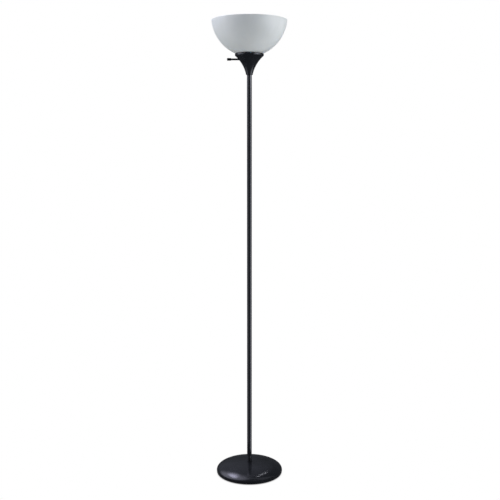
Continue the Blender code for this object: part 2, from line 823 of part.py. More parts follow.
def make_shade():
    """The outer side is an ellipse from the rim to the flat bottom round the socket's hole."""
    rim_angle = math.degrees(math.asin((SHADE_RIM_HEIGHT - SHADE_CENTRE_HEIGHT) / SHADE_DEPTH))
    flat_angle = math.degrees(math.asin((SHADE_FLAT_HEIGHT - SHADE_CENTRE_HEIGHT) / SHADE_DEPTH))
    radii = (SHADE_HALF_WIDTH, SHADE_DEPTH)
    outline = arc((0, SHADE_CENTRE_HEIGHT), radii, rim_angle, flat_angle, 10)
    outline.append((SHADE_HOLE_RADIUS, SHADE_FLAT_HEIGHT))
    turned_shell("shade", outline, SHADE_WALL, "white_plastic", FINE_TURN)


# ---------------------------------------------------------------- wiring


def make_lamp_lead():
    """From the bushing, along the weight's channel, up the pole and into the socket's cap."""
    bend_centre = (LEAD_BEND_RADIUS, LEAD_BASE_HEIGHT + LEAD_BEND_RADIUS)
    bend = arc(bend_centre, (LEAD_BEND_RADIUS, LEAD_BEND_RADIUS), 270, 180, 6)
    path = [(0, BASE_RADIUS, LEAD_BASE_HEIGHT)]
    path += [(0, forward, height) for forward, height in bend]
    path.append((0, 0, LEAD_TOP))
    wire("lamp_lead", path, LEAD_RADIUS, "lead_vinyl")


def make_core(name, side, slot):
    """One core, from the lead's top to the underside of its terminal's foot."""
    level = 1644.75 * MM
    along = side * 2.9 * MM
    path = [
        (0, side * 1.2 * MM, LEAD_TOP + GAP),
        (side * 0.3 * MM, side * 1.6 * MM, LEAD_TOP + 2.5 * MM),
        (side * 1.8 * MM, side * 3.2 * MM, level - 2.4 * MM),
        (along, side * 5.4 * MM, level - 0.5 * MM),
        (along, side * 8.0 * MM, level),
        (along, side * 12.4 * MM, level),
    ]
    wire(name, path, CORE_RADIUS, slot)


def make_wiring():
    make_lamp_lead()
    make_core("live_wire", -1, "lead_vinyl")
    make_core("neutral_wire", 1, "core_white")


# ---------------------------------------------------------------- the lamp


def make_lamp():
    make_base_cover()
    make_base_weight()
    make_base_plate()
    make_feet()
    make_cord_bushing()
    make_base_fasteners()
    make_pole()
    make_shade_holder()
    make_head_fasteners()
    make_socket()
    make_switch()
    make_shade()
    make_shade_ring()
    make_wiring()


reset_scene()
PARTS = new_collection("torchiere_floor_lamp")
CUTTERS = new_collection("cutters")
LAMP = bpy.data.objects.new("lamp", None)
PARTS.objects.link(LAMP)
SWITCH_AXIS = bpy.data.objects.new("switch_axis", None)
SWITCH_AXIS.location = (0, 0, SWITCH_HEIGHT)
SWITCH_AXIS.parent = LAMP
PARTS.objects.link(SWITCH_AXIS)

make_lamp()
bpy.context.view_layer.update()
for item in list(PARTS.objects):
    keep_shape(item)
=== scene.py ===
"""Torchiere floor lamp: finely modelled pieces, finishes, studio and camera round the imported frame.

Metres, +Z up. The origin is on the floor, on the pole's axis. The switch knob is on the -X side
and the lead's bushing on the +Y side. The camera stands on the -Y side.
"""

import json
import math

import bmesh
import bpy
from mathutils import Matrix, Vector


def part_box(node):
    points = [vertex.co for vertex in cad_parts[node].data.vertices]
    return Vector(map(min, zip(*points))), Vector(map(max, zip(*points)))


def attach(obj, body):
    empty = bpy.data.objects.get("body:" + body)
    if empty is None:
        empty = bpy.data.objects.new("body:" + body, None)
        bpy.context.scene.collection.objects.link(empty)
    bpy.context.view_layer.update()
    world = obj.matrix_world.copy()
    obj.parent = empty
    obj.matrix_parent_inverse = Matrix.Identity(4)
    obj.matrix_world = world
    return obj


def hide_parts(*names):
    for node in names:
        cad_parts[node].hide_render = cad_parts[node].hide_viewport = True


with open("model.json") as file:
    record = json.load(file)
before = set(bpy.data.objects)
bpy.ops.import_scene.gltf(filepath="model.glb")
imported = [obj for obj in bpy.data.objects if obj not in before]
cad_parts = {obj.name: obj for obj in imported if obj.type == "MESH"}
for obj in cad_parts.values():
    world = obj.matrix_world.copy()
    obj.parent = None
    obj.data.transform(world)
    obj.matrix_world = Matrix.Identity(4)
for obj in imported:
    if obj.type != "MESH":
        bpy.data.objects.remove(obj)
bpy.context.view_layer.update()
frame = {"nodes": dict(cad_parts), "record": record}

MM = 0.001
FULL_TURN = 2 * math.pi

# Segments in a full turn
LARGE_TURN = 256
ROUND_TURN = 128
SMALL_TURN = 72

# Base cover: a superellipse dome over a rolled lower edge
BASE_WIDEST_HEIGHT = 10.5 * MM
BASE_EDGE_TUCK = 3.5 * MM
DOME_EXPONENT = 2.3
COVER_WALL = 1.0 * MM
PLATE_HOLE_RADIUS = 28 * MM
INLET_RADIUS = 4.3 * MM
FOOT_COUNT = 4

# Threaded pipe, and the holes of what runs on it
NIPPLE_BORE = 3.5 * MM
NIPPLE_HOLE_RADIUS = 5.3 * MM
THREAD_PITCH = 1.0 * MM
LOCK_WASHER_TEETH = 14

# Pole
TUBE_COUNT = 4
TUBE_WALL = 0.8 * MM

# Shade: an ellipse turned about the pole's axis
SHADE_HALF_WIDTH = 146.1 * MM
SHADE_DEPTH = 151.7 * MM
SHADE_CENTRE_HEIGHT = 1818 * MM
SHADE_WALL = 2.0 * MM
SHADE_HOLE_RADIUS = 21 * MM

# Holder: a trumpet whose side is one arc
HOLDER_WALL = 2.0 * MM
HOLDER_FOOT_HEIGHT = 1598 * MM
HOLDER_FOOT_RADIUS = 13.2 * MM
HOLDER_FLARE_RADIUS = 132 * MM
HOLDER_BAND_BOTTOM = 1668.0 * MM
HOLDER_SLEEVE = 9.8 * MM
HOLDER_WEB_BOTTOM = 1612.3 * MM
HOLDER_WEB_TOP = 1615.3 * MM

# Socket and switch
SOCKET_RADIUS = 18.0 * MM
SOCKET_SHOULDER = 1664 * MM
SOCKET_BORE = 14.6 * MM
SOCKET_PITCH = 2.0 * MM
CHAMBER_RADIUS = 15.8 * MM
PARTITION_BOTTOM = 1668 * MM
PARTITION_TOP = 1672 * MM
SHELL_RADIUS = 13.5 * MM
SHELL_WALL = 0.5 * MM
SHELL_PITCH = 3.6 * MM
RING_HOLE_RADIUS = 20.0 * MM
RING_COLLAR_RADIUS = 24.8 * MM
CONTACT_HINGE_X = 4.5 * MM
LEAF_THICKNESS = 0.5 * MM
LEAF_HALF_WIDTH = 2.3 * MM
LEAF_TAIL = 2.2 * MM
LEAF_TIP = 8.0 * MM
LEAF_END_MARGIN = 0.05 * MM
LEAF_HEIGHT = 1672.55 * MM
SWITCH_HEIGHT = 1654 * MM
SHAFT_RADIUS = 3.6 * MM
LEAD_BASE_HEIGHT = 8.5 * MM

# Camera: its place, how many degrees it looks down, and its lens in millimetres
CAMERA_PLACE = (0.0024, -3.105, 1.306)
CAMERA_DROP = 7.16
CAMERA_LENS = 56.93

# Room: its plain light, and how much stronger it is in front, where the camera stands, than behind
ROOM_COLOUR = (0.095, 0.103, 0.112)
ROOM_FRONT_GAIN = 1.35
ROOM_BACK_GAIN = 0.65

# Side panels: the levels between which they fade in and out, as sines of the angle above level,
# what is left of them above that, and where the stronger strip along their top begins
PANEL_FOOT = (-0.56, -0.375)
PANEL_TOP = (0.125, 0.165)
PANEL_SPILL = 0.03
STRIP_FOOT = (0.075, 0.105)
STRIP_GAIN = 4.2

# Each panel's azimuth, half width and soft edge in degrees, and its colour. Azimuths are counted
# from -Y, where the camera stands, towards +X.
PANELS = (
    (68, 14, 22, (2.38, 2.46, 2.63)),
    (-78, 12, 22, (0.98, 1.01, 1.08)),
)

# Softbox: where it is, where its long axis leads, its half length and half width in degrees
SOFTBOX_TOWARDS = (-0.47, 0.19, 0.86)
SOFTBOX_ALONG = (0.46, 0.88, -0.08)
SOFTBOX_SIZE = (34, 13)
SOFTBOX_COLOUR = (5.8, 5.7, 7.0)

# Each round glow's direction, the angles at which it is full and gone in degrees, and its colour
GLOWS = (
    ((-0.68, -0.06, 0.73), 14, 52, (1.95, 1.95, 2.25)),
    ((-0.30, 0.62, 0.72), 8, 42, (0.16, 0.165, 0.20)),
)

# Fill lights: each one's name, azimuth, angle below level in degrees and power in watts
FILLS = (("right_fill", 88, 18, 8.0), ("left_fill", -90, 45, 8.2))
FILL_DISTANCE = 1.5
FILL_AIM = 1.75
FILL_SIZE = 0.8

# Overhead strip light
TUBE_LIGHT_ENDS = ((0.55, 0.42, 2.6), (0.94, 2.12, 2.6))
TUBE_LIGHT_SIZE = (0.05, 1.75)
TUBE_LIGHT_ENERGY = 3.0

# Flag: a dark dish round the base; its shift is along X
FLAG_RADIUS = 0.205
FLAG_HEIGHT = 0.034
FLAG_SHIFT = -0.05
FLAG_COLOUR = (0.07, 0.07, 0.08, 1.0)

# Floor
FLOOR_HALF_WIDTH = 20
CONTACT_SHADE_REACH = 0.02


# ---------------------------------------------------------------- outlines


def extent(node):
    """A turned node's outer radius, and its lowest and highest levels."""
    low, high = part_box(node)
    return high.x, low.z, high.z


def arc(centre, radii, start, end, count):
    """Points on an ellipse's arc; the angles are in degrees, counted from +radius towards +Z."""
    points = []
    for i in range(count + 1):
        angle = math.radians(start + (end - start) * i / count)
        points.append(
            (centre[0] + radii[0] * math.cos(angle), centre[1] + radii[1] * math.sin(angle))
        )
    return points


def swung(arm, centre, angle):
    """Where an arm's end comes to when the arm turns about a centre."""
    cosine, sine = math.cos(angle), math.sin(angle)
    return centre.x + arm.x * cosine - arm.y * sine, centre.y + arm.x * sine + arm.y * cosine


def rounded(outline, steps=5):
    """Rounds each corner that is given as (radius, height, rounding)."""
    points = []
    for i, item in enumerate(outline):
        corner = Vector(item[:2])
        if len(item) < 3:
            points.append(tuple(corner))
            continue
        before = Vector(outline[i - 1][:2]) - corner
        after = Vector(outline[(i + 1) % len(outline)][:2]) - corner
        half = before.angle(after) / 2
        reach = min(item[2] / math.tan(half), 0.48 * before.length, 0.48 * after.length)
        middle = (before.normalized() + after.normalized()).normalized()
        centre = corner + middle * reach / math.cos(half)
        first = corner + before.normalized() * reach - centre
        last = corner + after.normalized() * reach - centre
        turn = math.atan2(first.x * last.y - first.y * last.x, first.dot(last))
        points += [swung(first, centre, turn * k / steps) for k in range(steps + 1)]
    return points


def side(radius, start, end, step):
    """Close points down or up a straight side, so that a thread can be cut into it."""
    count = max(1, round(abs(end - start) / step))
    return [(radius, start + (end - start) * i / count) for i in range(count + 1)]


def half_round(first, last, steps=6):
    """Points between two ends on a half circle, turning clockwise in the (radius, height) plane."""
    centre = (Vector(first) + Vector(last)) / 2
    arm = Vector(first) - centre
    return [swung(arm, centre, -math.pi * i / steps) for i in range(1, steps)]


def walled(outer, wall):
    """The closed outline of a skin with round edges. The outer side runs down, or out and down."""
    inner = []
    for i, point in enumerate(outer):
        before = Vector(outer[max(i - 1, 0)])
        after = Vector(outer[min(i + 1, len(outer) - 1)])
        along = (after - before).normalized()
        inner.append((point[0] + along.y * wall, point[1] - along.x * wall))
    back = list(reversed(inner))
    return outer + half_round(outer[-1], back[0]) + back + half_round(back[-1], outer[0])


# ---------------------------------------------------------------- reliefs


def thread(pitch, depth, bottom, top, outside):
    """A right-handed thread between two levels, cut into whatever lies beyond a radius."""

    def relief(angle, radius, height):
        if radius < outside or not bottom < height < top:
            return radius, height
        fade = min(1.0, (height - bottom) / pitch, (top - height) / pitch)
        turn = height / pitch - angle / FULL_TURN
        return radius - depth * fade * (0.5 - 0.5 * math.cos(FULL_TURN * turn)), height

    return relief


def hexagon(across_flats, outside):
    """Flats on everything beyond a radius; the outline's own cones are left as chamfers."""

    def relief(angle, radius, height):
        if radius < outside:
            return radius, height
        off_flat = (angle + math.pi / 6) % (math.pi / 3) - math.pi / 6
        return min(radius, across_flats / 2 / math.cos(off_flat)), height

    return relief


def flutes(count, depth, bottom, top, outside):
    """Shallow grooves along the axis between two levels."""

    def relief(angle, radius, height):
        if radius < outside or not bottom <= height <= top:
            return radius, height
        groove = 0.5 - 0.5 * math.cos(count * angle)
        return radius - depth * groove**2, height

    return relief


def teeth(count, depth, lift, outside):
    """The twisted teeth of a lock washer."""

    def relief(angle, radius, height):
        if radius < outside:
            return radius, height
        phase = (count * angle / FULL_TURN) % 1.0
        notch = 1.0 if phase > 0.55 else 0.0
        return radius - depth * notch, height + lift * (phase - 0.3) * (1.0 - notch)

    return relief


def both(first, second):
    """One relief after another."""

    def relief(angle, radius, height):
        return second(angle, *first(angle, radius, height))

    return relief


# ---------------------------------------------------------------- meshes


def bridge(shape, upper, lower, steps):
    """Faces between two rings, either of which may be a single point on the axis."""
    for i in range(steps):
        after = (i + 1) % steps
        corners = [upper[i % len(upper)], upper[after % len(upper)]]
        corners += [lower[after % len(lower)], lower[i % len(lower)]]
        distinct = list(dict.fromkeys(corners))
        if len(distinct) > 2:
            shape.faces.new(distinct)


def revolve(outline, steps=ROUND_TURN, relief=None, closed=True):
    """Turns an outline about Z. An open one starts and ends on the axis."""
    shape = bmesh.new()
    rings = []
    for radius, height in outline:
        if radius < 0.001 * MM:
            rings.append([shape.verts.new((0, 0, height))])
            continue
        ring = []
        for i in range(steps):
            angle = FULL_TURN * i / steps
            far, up = relief(angle, radius, height) if relief else (radius, height)
            ring.append(shape.verts.new((far * math.cos(angle), far * math.sin(angle), up)))
        rings.append(ring)
    for upper, lower in zip(rings, rings[1:]):
        bridge(shape, upper, lower, steps)
    if closed:
        bridge(shape, rings[-1], rings[0], steps)
    bmesh.ops.recalc_face_normals(shape, faces=shape.faces)
    return shape


def ribbon(path, half_widths, thickness):
    """A metal leaf in the XZ plane's path, (x, z), with its own half width at each point."""
    shape = bmesh.new()
    rows = []
    for i, (along, height) in enumerate(path):
        before = Vector(path[max(i - 1, 0)])
        after = Vector(path[min(i + 1, len(path) - 1)])
        heading = (after - before).normalized()
        up = Vector((-heading.y, 0, heading.x)) * thickness / 2
        centre = Vector((along, 0, height))
        wide = Vector((0, half_widths[i], 0))
        corners = (centre - wide - up, centre + wide - up, centre + wide + up, centre - wide + up)
        rows.append([shape.verts.new(corner) for corner in corners])
    for row, following in zip(rows, rows[1:]):
        bridge(shape, row, following, 4)
    shape.faces.new(rows[0])
    shape.faces.new(rows[-1])
    bmesh.ops.recalc_face_normals(shape, faces=shape.faces)
    return shape


def new_object(name, shape):
    """An object of that shape, in the scene."""
    mesh = bpy.data.meshes.new(name)
    shape.to_mesh(mesh)
    shape.free()
    made = bpy.data.objects.new(name, mesh)
    bpy.context.scene.collection.objects.link(made)
    return made


def smooth(mesh, sharp_angle=38):
    """Smooth shading, but for edges sharper than an angle in degrees."""
    mesh.shade_smooth()
    mesh.set_sharp_from_angle(angle=math.radians(sharp_angle))


def cut_hole(obj, radius, start, end):
    """Cuts a round hole through a piece, from one point to another."""
    start, end = Vector(start), Vector(end)
    shape = bmesh.new()
    bmesh.ops.create_cone(
        shape,
        cap_ends=True,
        segments=SMALL_TURN // 2,
        radius1=radius,
        radius2=radius,
        depth=(end - start).length,
    )
    turn = (end - start).to_track_quat("Z", "Y").to_matrix().to_4x4()
    cutter = new_object("hole", shape)
    cutter.data.transform(Matrix.Translation((start + end) / 2) @ turn)
    boolean = obj.modifiers.new("hole", "BOOLEAN")
    boolean.object = cutter
    boolean.solver = "EXACT"
    evaluated = obj.evaluated_get(bpy.context.evaluated_depsgraph_get())
    drilled = bpy.data.meshes.new_from_object(evaluated)
    obj.modifiers.clear()
    obj.data = drilled
    bpy.data.objects.remove(cutter)
    smooth(drilled)


def add_piece(node, shape, material, place=None, body="lamp", holes=()):
    """The fine piece that stands for a CAD node and rides on its body. Each hole through it is
    given as its radius, start and end.
    """
    if place is not None:
        bmesh.ops.transform(shape, matrix=place, verts=shape.verts)
    piece = new_object(f"{node}_fine", shape)
    smooth(piece.data)
    piece.data.materials.append(material)
    for radius, start, end in holes:
        cut_hole(piece, radius, start, end)
    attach(piece, body)
    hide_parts(node)
    return piece


# ---------------------------------------------------------------- finishes


class Tree:
    """Adds nodes to a material's or world's tree in few words."""

    def __init__(self, tree):
        self.tree = tree

    def link(self, source, target):
        self.tree.links.new(source, target)

    def add(self, kind, values=None, output=0, **settings):
        """One output of a new node; a value that is a socket is linked and any other is set."""
        made = self.tree.nodes.new(f"ShaderNode{kind}")
        for name, setting in settings.items():
            setattr(made, name, setting)
        for name, value in (values or {}).items():
            if isinstance(value, bpy.types.NodeSocket):
                self.link(value, made.inputs[name])
            else:
                made.inputs[name].default_value = value
        return made.outputs[output]

    def maths(self, operation, first, second=0.0):
        return self.add("Math", {0: first, 1: second}, operation=operation)

    def remap(self, value, low, high, first=0.0, last=1.0):
        """Carries the range from low to high over to first to last, smoothly, and holds the ends."""
        values = {
            "Value": value,
            "From Min": low,
            "From Max": high,
            "To Min": first,
            "To Max": last,
        }
        return self.add("MapRange", values, interpolation_type="SMOOTHSTEP")

    def scaled(self, vector, factor):
        return self.add("VectorMath", {0: vector, "Scale": factor}, operation="SCALE")

    def summed(self, first, second):
        return self.add("VectorMath", {0: first, 1: second}, operation="ADD")


class Finish(Tree):
    """One material, patterned in the object's own coordinates."""

    def __init__(self, name, sockets):
        self.material = bpy.data.materials.new(name)
        self.material.use_nodes = True
        super().__init__(self.material.node_tree)
        self.shader = self.tree.nodes["Principled BSDF"]
        for socket, value in sockets.items():
            self.shader.inputs[socket].default_value = value
        self.place = self.add("TexCoord", output="Object")
        self.normal = None

    def noise(self, size, detail=3.0, stretch=(1, 1, 1), distortion=0.0):
        """Cloudy noise whose patches are about that size, stretched along an axis by its factor."""
        scale = [1 / factor for factor in stretch]
        place = self.add("Mapping", {"Vector": self.place, "Scale": scale})
        values = {"Vector": place, "Scale": 0.6 / size, "Detail": detail, "Distortion": distortion}
        return self.add("TexNoise", values)

    def flecks(self, size, share):
        """Small round spots, one in a cell of that size; share is how much of it a spot takes."""
        values = {"Vector": self.place, "Scale": 1 / size}
        distance = self.add("TexVoronoi", values)
        return self.remap(distance, share, share * 0.6)

    def edges(self, low=0.515, high=0.60):
        """Convex edges, where a finish wears first; on the shade they carry a painted glow instead."""
        pointiness = self.add("NewGeometry", output="Pointiness")
        return self.remap(pointiness, low, high)

    def mixed(self, factor, first, second):
        """Two colours, either of them a socket or three numbers, by a factor."""
        made = self.tree.nodes.new("ShaderNodeMix")
        made.data_type = "RGBA"
        self.link(factor, made.inputs["Factor"])
        for socket, colour in ((6, first), (7, second)):
            if isinstance(colour, bpy.types.NodeSocket):
                self.link(colour, made.inputs[socket])
            else:
                made.inputs[socket].default_value = (*colour, 1.0)
        return made.outputs[2]

    def colour(self, source):
        self.link(source, self.shader.inputs["Base Color"])

    def roughness(self, source):
        self.link(source, self.shader.inputs["Roughness"])

    def bump(self, height, depth):
        """Raises the surface by up to that depth, over what earlier calls raised."""
        values = {"Height": height, "Distance": depth, "Strength": 1.0}
        if self.normal is not None:
            values["Normal"] = self.normal
        self.normal = self.add("Bump", values)
        self.link(self.normal, self.shader.inputs["Normal"])


def gloss_paint(name, streak):
    """Black enamel: faint orange peel, soft smears along the streak axes, dust and rubbed edges."""
    made = Finish(name, {"IOR": 1.5, "Specular Tint": (0.92, 0.92, 1.0, 1.0)})
    clouds = made.noise(28 * MM, 4.0, streak)
    smears = made.noise(9 * MM, 5.0, streak, 0.6)
    dust = made.maths("MULTIPLY", made.flecks(2.6 * MM, 0.16), made.remap(clouds, 0.45, 0.7))
    body = made.mixed(made.remap(clouds, 0.3, 0.7), (0.0070, 0.0076, 0.0088), (0.0100, 0.0108, 0.0124))
    dusty = made.mixed(made.maths("MULTIPLY", dust, 0.35), body, (0.10, 0.10, 0.11))
    rubbed = made.maths("MULTIPLY", made.edges(), made.remap(smears, 0.45, 0.65))
    made.colour(made.mixed(made.maths("MULTIPLY", rubbed, 0.5), dusty, (0.055, 0.055, 0.060)))
    gloss = made.remap(smears, 0.35, 0.75, 0.13, 0.20)
    made.roughness(made.maths("ADD", gloss, made.maths("MULTIPLY", dust, 0.25)))
    made.bump(made.noise(1.7 * MM, 2.0), 0.004 * MM)
    made.bump(dust, 0.012 * MM)
    return made.material


def black_plastic(name, sheen):
    """Moulded black plastic: fine skin texture, flow marks down the sides and scuffed edges."""
    sockets = {"IOR": 1.5, "Specular Tint": (0.95, 0.96, 1.0, 1.0), "Specular IOR Level": sheen}
    made = Finish(name, sockets)
    flow = made.noise(6 * MM, 3.0, (1, 1, 5), 0.4)
    clouds = made.noise(22 * MM, 3.0)
    body = made.mixed(made.remap(clouds, 0.3, 0.7), (0.0065, 0.0067, 0.0085), (0.0100, 0.0105, 0.0125))
    scuffs = made.maths("MULTIPLY", made.edges(), made.remap(made.noise(1.8 * MM, 4.0), 0.4, 0.62))
    made.colour(made.mixed(made.maths("MULTIPLY", scuffs, 0.6), body, (0.06, 0.06, 0.065)))
    gloss = made.remap(flow, 0.3, 0.7, 0.20, 0.30)
    made.roughness(made.maths("ADD", gloss, made.maths("MULTIPLY", scuffs, 0.2)))
    made.bump(made.noise(0.5 * MM, 2.0), 0.004 * MM)
    made.bump(flow, 0.010 * MM)
    return made.material


def shade_plastic():
    """Translucent white plastic: cloudy pigment, long flow marks, a faint moulded skin and a painted
    glow on its convex edges.
    """
    sockets = {
        "IOR": 1.47,
        "Subsurface Weight": 0.25,
        "Subsurface Radius": (1.0, 0.9, 0.8),
        "Subsurface Scale": 4 * MM,
    }
    made = Finish("shade_plastic", sockets)
    clouds = made.noise(45 * MM, 4.0)
    flow = made.noise(16 * MM, 4.0, (1, 1, 4), 0.5)
    pigment = made.mixed(made.remap(clouds, 0.3, 0.7), (0.698, 0.720, 0.708), (0.732, 0.752, 0.738))
    streaked = made.mixed(made.remap(flow, 0.55, 0.8, 0.0, 0.5), pigment, (0.668, 0.690, 0.678))
    specks = made.maths("MULTIPLY", made.flecks(5 * MM, 0.07), made.remap(flow, 0.5, 0.6))
    soiled = made.mixed(made.maths("MULTIPLY", specks, 0.35), streaked, (0.42, 0.41, 0.39))
    # Convex edges are painted lighter: a painted glow standing in for light coming through the thin
    # plastic there.
    made.colour(made.mixed(made.maths("MULTIPLY", made.edges(), 0.5), soiled, (0.78, 0.80, 0.78)))
    made.roughness(made.remap(flow, 0.3, 0.7, 0.36, 0.46))
    made.bump(made.noise(0.7 * MM, 2.0), 0.006 * MM)
    made.bump(flow, 0.030 * MM)
    return made.material


def zinc():
    """Zinc plate over steel: spangled patches, a faint yellow bloom, fine scratches, dull edges."""
    made = Finish("zinc", {"Metallic": 1.0})
    patches = made.noise(4 * MM, 4.0)
    bloom = made.noise(11 * MM, 3.0, distortion=1.0)
    scratches = made.noise(0.35 * MM, 2.0, (14, 1, 1))
    plate = made.mixed(made.remap(patches, 0.35, 0.65), (0.46, 0.47, 0.48), (0.62, 0.62, 0.61))
    bloomed = made.mixed(made.remap(bloom, 0.45, 0.75, 0.0, 0.6), plate, (0.62, 0.56, 0.40))
    made.colour(made.mixed(made.maths("MULTIPLY", made.edges(), 0.5), bloomed, (0.38, 0.37, 0.36)))
    made.roughness(made.remap(patches, 0.3, 0.7, 0.26, 0.46))
    made.bump(scratches, 0.006 * MM)
    made.bump(made.noise(0.8 * MM, 3.0), 0.010 * MM)
    return made.material


def brass():
    """Brass sheet: warm and bright where it is rubbed, brown where it has tarnished."""
    made = Finish("brass", {"Metallic": 1.0})
    tarnish = made.noise(3.5 * MM, 5.0, distortion=0.8)
    bright = made.mixed(made.remap(tarnish, 0.3, 0.6), (0.80, 0.60, 0.27), (0.68, 0.47, 0.19))
    dulled = made.mixed(made.remap(tarnish, 0.55, 0.75), bright, (0.36, 0.24, 0.11))
    made.colour(made.mixed(made.maths("MULTIPLY", made.edges(), 0.6), dulled, (0.90, 0.72, 0.38)))
    made.roughness(made.remap(tarnish, 0.3, 0.75, 0.20, 0.48))
    made.bump(made.noise(0.3 * MM, 2.0, (8, 1, 1)), 0.004 * MM)
    made.bump(tarnish, 0.006 * MM)
    return made.material


def phenolic():
    """Brown-black moulding compound with pale filler grains and a dull sheen."""
    made = Finish("phenolic", {"IOR": 1.6})
    clouds = made.noise(5 * MM, 4.0)
    grains = made.flecks(0.9 * MM, 0.22)
    body = made.mixed(made.remap(clouds, 0.3, 0.7), (0.018, 0.014, 0.012), (0.034, 0.027, 0.022))
    grained = made.mixed(made.maths("MULTIPLY", grains, 0.4), body, (0.10, 0.075, 0.055))
    made.colour(made.mixed(made.maths("MULTIPLY", made.edges(), 0.5), grained, (0.12, 0.10, 0.085)))
    made.roughness(made.remap(clouds, 0.3, 0.7, 0.34, 0.50))
    made.bump(made.noise(0.6 * MM, 3.0), 0.012 * MM)
    return made.material


def cement():
    """Cast cement: sandy, pitted and stained, with painted shade in its pits."""
    made = Finish("cement", {})
    stains = made.noise(18 * MM, 6.0)
    sand = made.noise(0.8 * MM, 4.0)
    pits = made.flecks(4.5 * MM, 0.24)
    body = made.mixed(made.remap(stains, 0.3, 0.7), (0.25, 0.24, 0.225), (0.39, 0.375, 0.35))
    sandy = made.mixed(made.remap(sand, 0.4, 0.7, 0.0, 0.5), body, (0.48, 0.46, 0.43))
    # The pits are painted dark: painted shade in the hollows.
    made.colour(made.mixed(pits, sandy, (0.13, 0.125, 0.115)))
    made.roughness(made.remap(sand, 0.3, 0.7, 0.82, 0.97))
    made.bump(made.maths("SUBTRACT", 1.0, pits), 0.5 * MM)
    made.bump(sand, 0.12 * MM)
    return made.material


def foam():
    """Black foam rubber with fine open cells, painted darker inside as painted shade."""
    made = Finish("foam", {"Sheen Weight": 0.15, "Sheen Roughness": 0.6})
    cells = made.flecks(0.6 * MM, 0.45)
    clouds = made.noise(5 * MM, 3.0)
    body = made.mixed(made.remap(clouds, 0.3, 0.7), (0.014, 0.014, 0.015), (0.030, 0.030, 0.031))
    # The cells are painted darker: painted shade in the hollows.
    made.colour(made.mixed(cells, body, (0.006, 0.006, 0.006)))
    made.roughness(made.remap(clouds, 0.3, 0.7, 0.85, 0.97))
    made.bump(made.maths("SUBTRACT", 1.0, cells), 0.12 * MM)
    return made.material


def vinyl(name, dark, light):
    """Soft extruded insulation: faint lengthwise ripples and handling marks."""
    made = Finish(name, {"IOR": 1.48})
    marks = made.noise(4 * MM, 4.0)
    ripples = made.noise(1.2 * MM, 2.0, (1, 1, 8))
    made.colour(made.mixed(made.remap(marks, 0.3, 0.7), dark, light))
    made.roughness(made.remap(marks, 0.3, 0.7, 0.38, 0.55))
    made.bump(ripples, 0.02 * MM)
    return made.material


PAINT_BASE = gloss_paint("paint_base", (1, 1, 1))
PAINT_POLE = gloss_paint("paint_pole", (1, 1, 6))
PLASTIC = black_plastic("black_plastic", 0.5)
SWITCH_PLASTIC = black_plastic("switch_plastic", 0.1)
SHADE_PLASTIC = shade_plastic()
ZINC = zinc()
BRASS = brass()
PHENOLIC = phenolic()
FOAM = foam()
SLOT_MATERIALS = {
    "black_paint": PAINT_POLE,
    "black_plastic": PLASTIC,
    "white_plastic": SHADE_PLASTIC,
    "phenolic": PHENOLIC,
    "zinc_steel": ZINC,
    "brass": BRASS,
    "cement": cement(),
    "foam": FOAM,
    "lead_vinyl": vinyl("lead_vinyl", (0.010, 0.010, 0.011), (0.022, 0.022, 0.023)),
    "core_white": vinyl("core_white", (0.66, 0.65, 0.61), (0.80, 0.79, 0.76)),
    "rotor_plastic": vinyl("rotor_plastic", (0.52, 0.50, 0.43), (0.66, 0.63, 0.56)),
}


# ---------------------------------------------------------------- base


def dome_side(radius, top, stop):
    """The dome from near its axis down to its widest line."""
    rise = top - BASE_WIDEST_HEIGHT
    points = [(stop, top)]
    count = 64
    for i in range(1, count + 1):
        angle = math.radians(90 * (1 - i / count))
        reach = radius * max(math.cos(angle), 0.0) ** (2 / DOME_EXPONENT)
        if reach > stop:
            level = BASE_WIDEST_HEIGHT + rise * math.sin(angle) ** (2 / DOME_EXPONENT)
            points.append((reach, level))
    return points


def make_base_cover():
    """The pressed dome with its tucked edge, and the lead's hole at the back."""
    radius, bottom, top = extent("base_cover")
    tuck_centre = (radius - BASE_EDGE_TUCK, BASE_WIDEST_HEIGHT)
    tuck = arc(tuck_centre, (BASE_EDGE_TUCK, BASE_WIDEST_HEIGHT - bottom), 0, -90, 14)
    outline = walled(dome_side(radius, top, NIPPLE_HOLE_RADIUS) + tuck[1:], COVER_WALL)
    start = (0, radius - 12 * MM, LEAD_BASE_HEIGHT)
    end = (0, radius + 12 * MM, LEAD_BASE_HEIGHT)
    inlet = (INLET_RADIUS, start, end)
    shape = revolve(outline, LARGE_TURN)
    add_piece("base_cover", shape, PAINT_BASE, holes=[inlet])


def make_base_plate():
    """A pressed disc with two raised rings and a hole in its middle."""
    radius, bottom, top = extent("base_plate")
    lift = 0.9 * MM
    soft = 1.2 * MM
    under = [(radius, bottom, 0.2 * MM)]
    over = [(radius, top, 0.2 * MM)]
    for outer, inner in ((88 * MM, 76 * MM), (56 * MM, 44 * MM)):
        for level, face in ((bottom, under), (top, over)):
            face.extend(
                [
                    (outer, level, soft),
                    (outer - 2 * MM, level + lift, soft),
                    (inner + 2 * MM, level + lift, soft),
                    (inner, level, soft),
                ]
            )
    under.append((PLATE_HOLE_RADIUS, bottom, 0.2 * MM))
    over.append((PLATE_HOLE_RADIUS, top, 0.2 * MM))
    outline = rounded(under + list(reversed(over)))
    add_piece("base_plate", revolve(outline), ZINC)


def make_feet():
    """Round pads with a shallow dish underneath."""
    for number in range(1, FOOT_COUNT + 1):
        node = f"foot_pad_{number}"
        low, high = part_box(node)
        centre = (low + high) / 2
        radius = (high.x - low.x) / 2
        thickness = high.z - low.z
        outline = rounded(
            [
                (0, thickness),
                (radius, thickness, 0.2 * MM),
                (radius + 0.05 * MM, 0, 0.45 * MM),
                (radius * 0.6, 0),
                (radius * 0.55, 0.12 * MM, 0.1 * MM),
                (0, 0.12 * MM),
            ]
        )
        place = Matrix.Translation((centre.x, centre.y, low.z))
        shape = revolve(outline, SMALL_TURN, closed=False)
        add_piece(node, shape, FOAM, place)


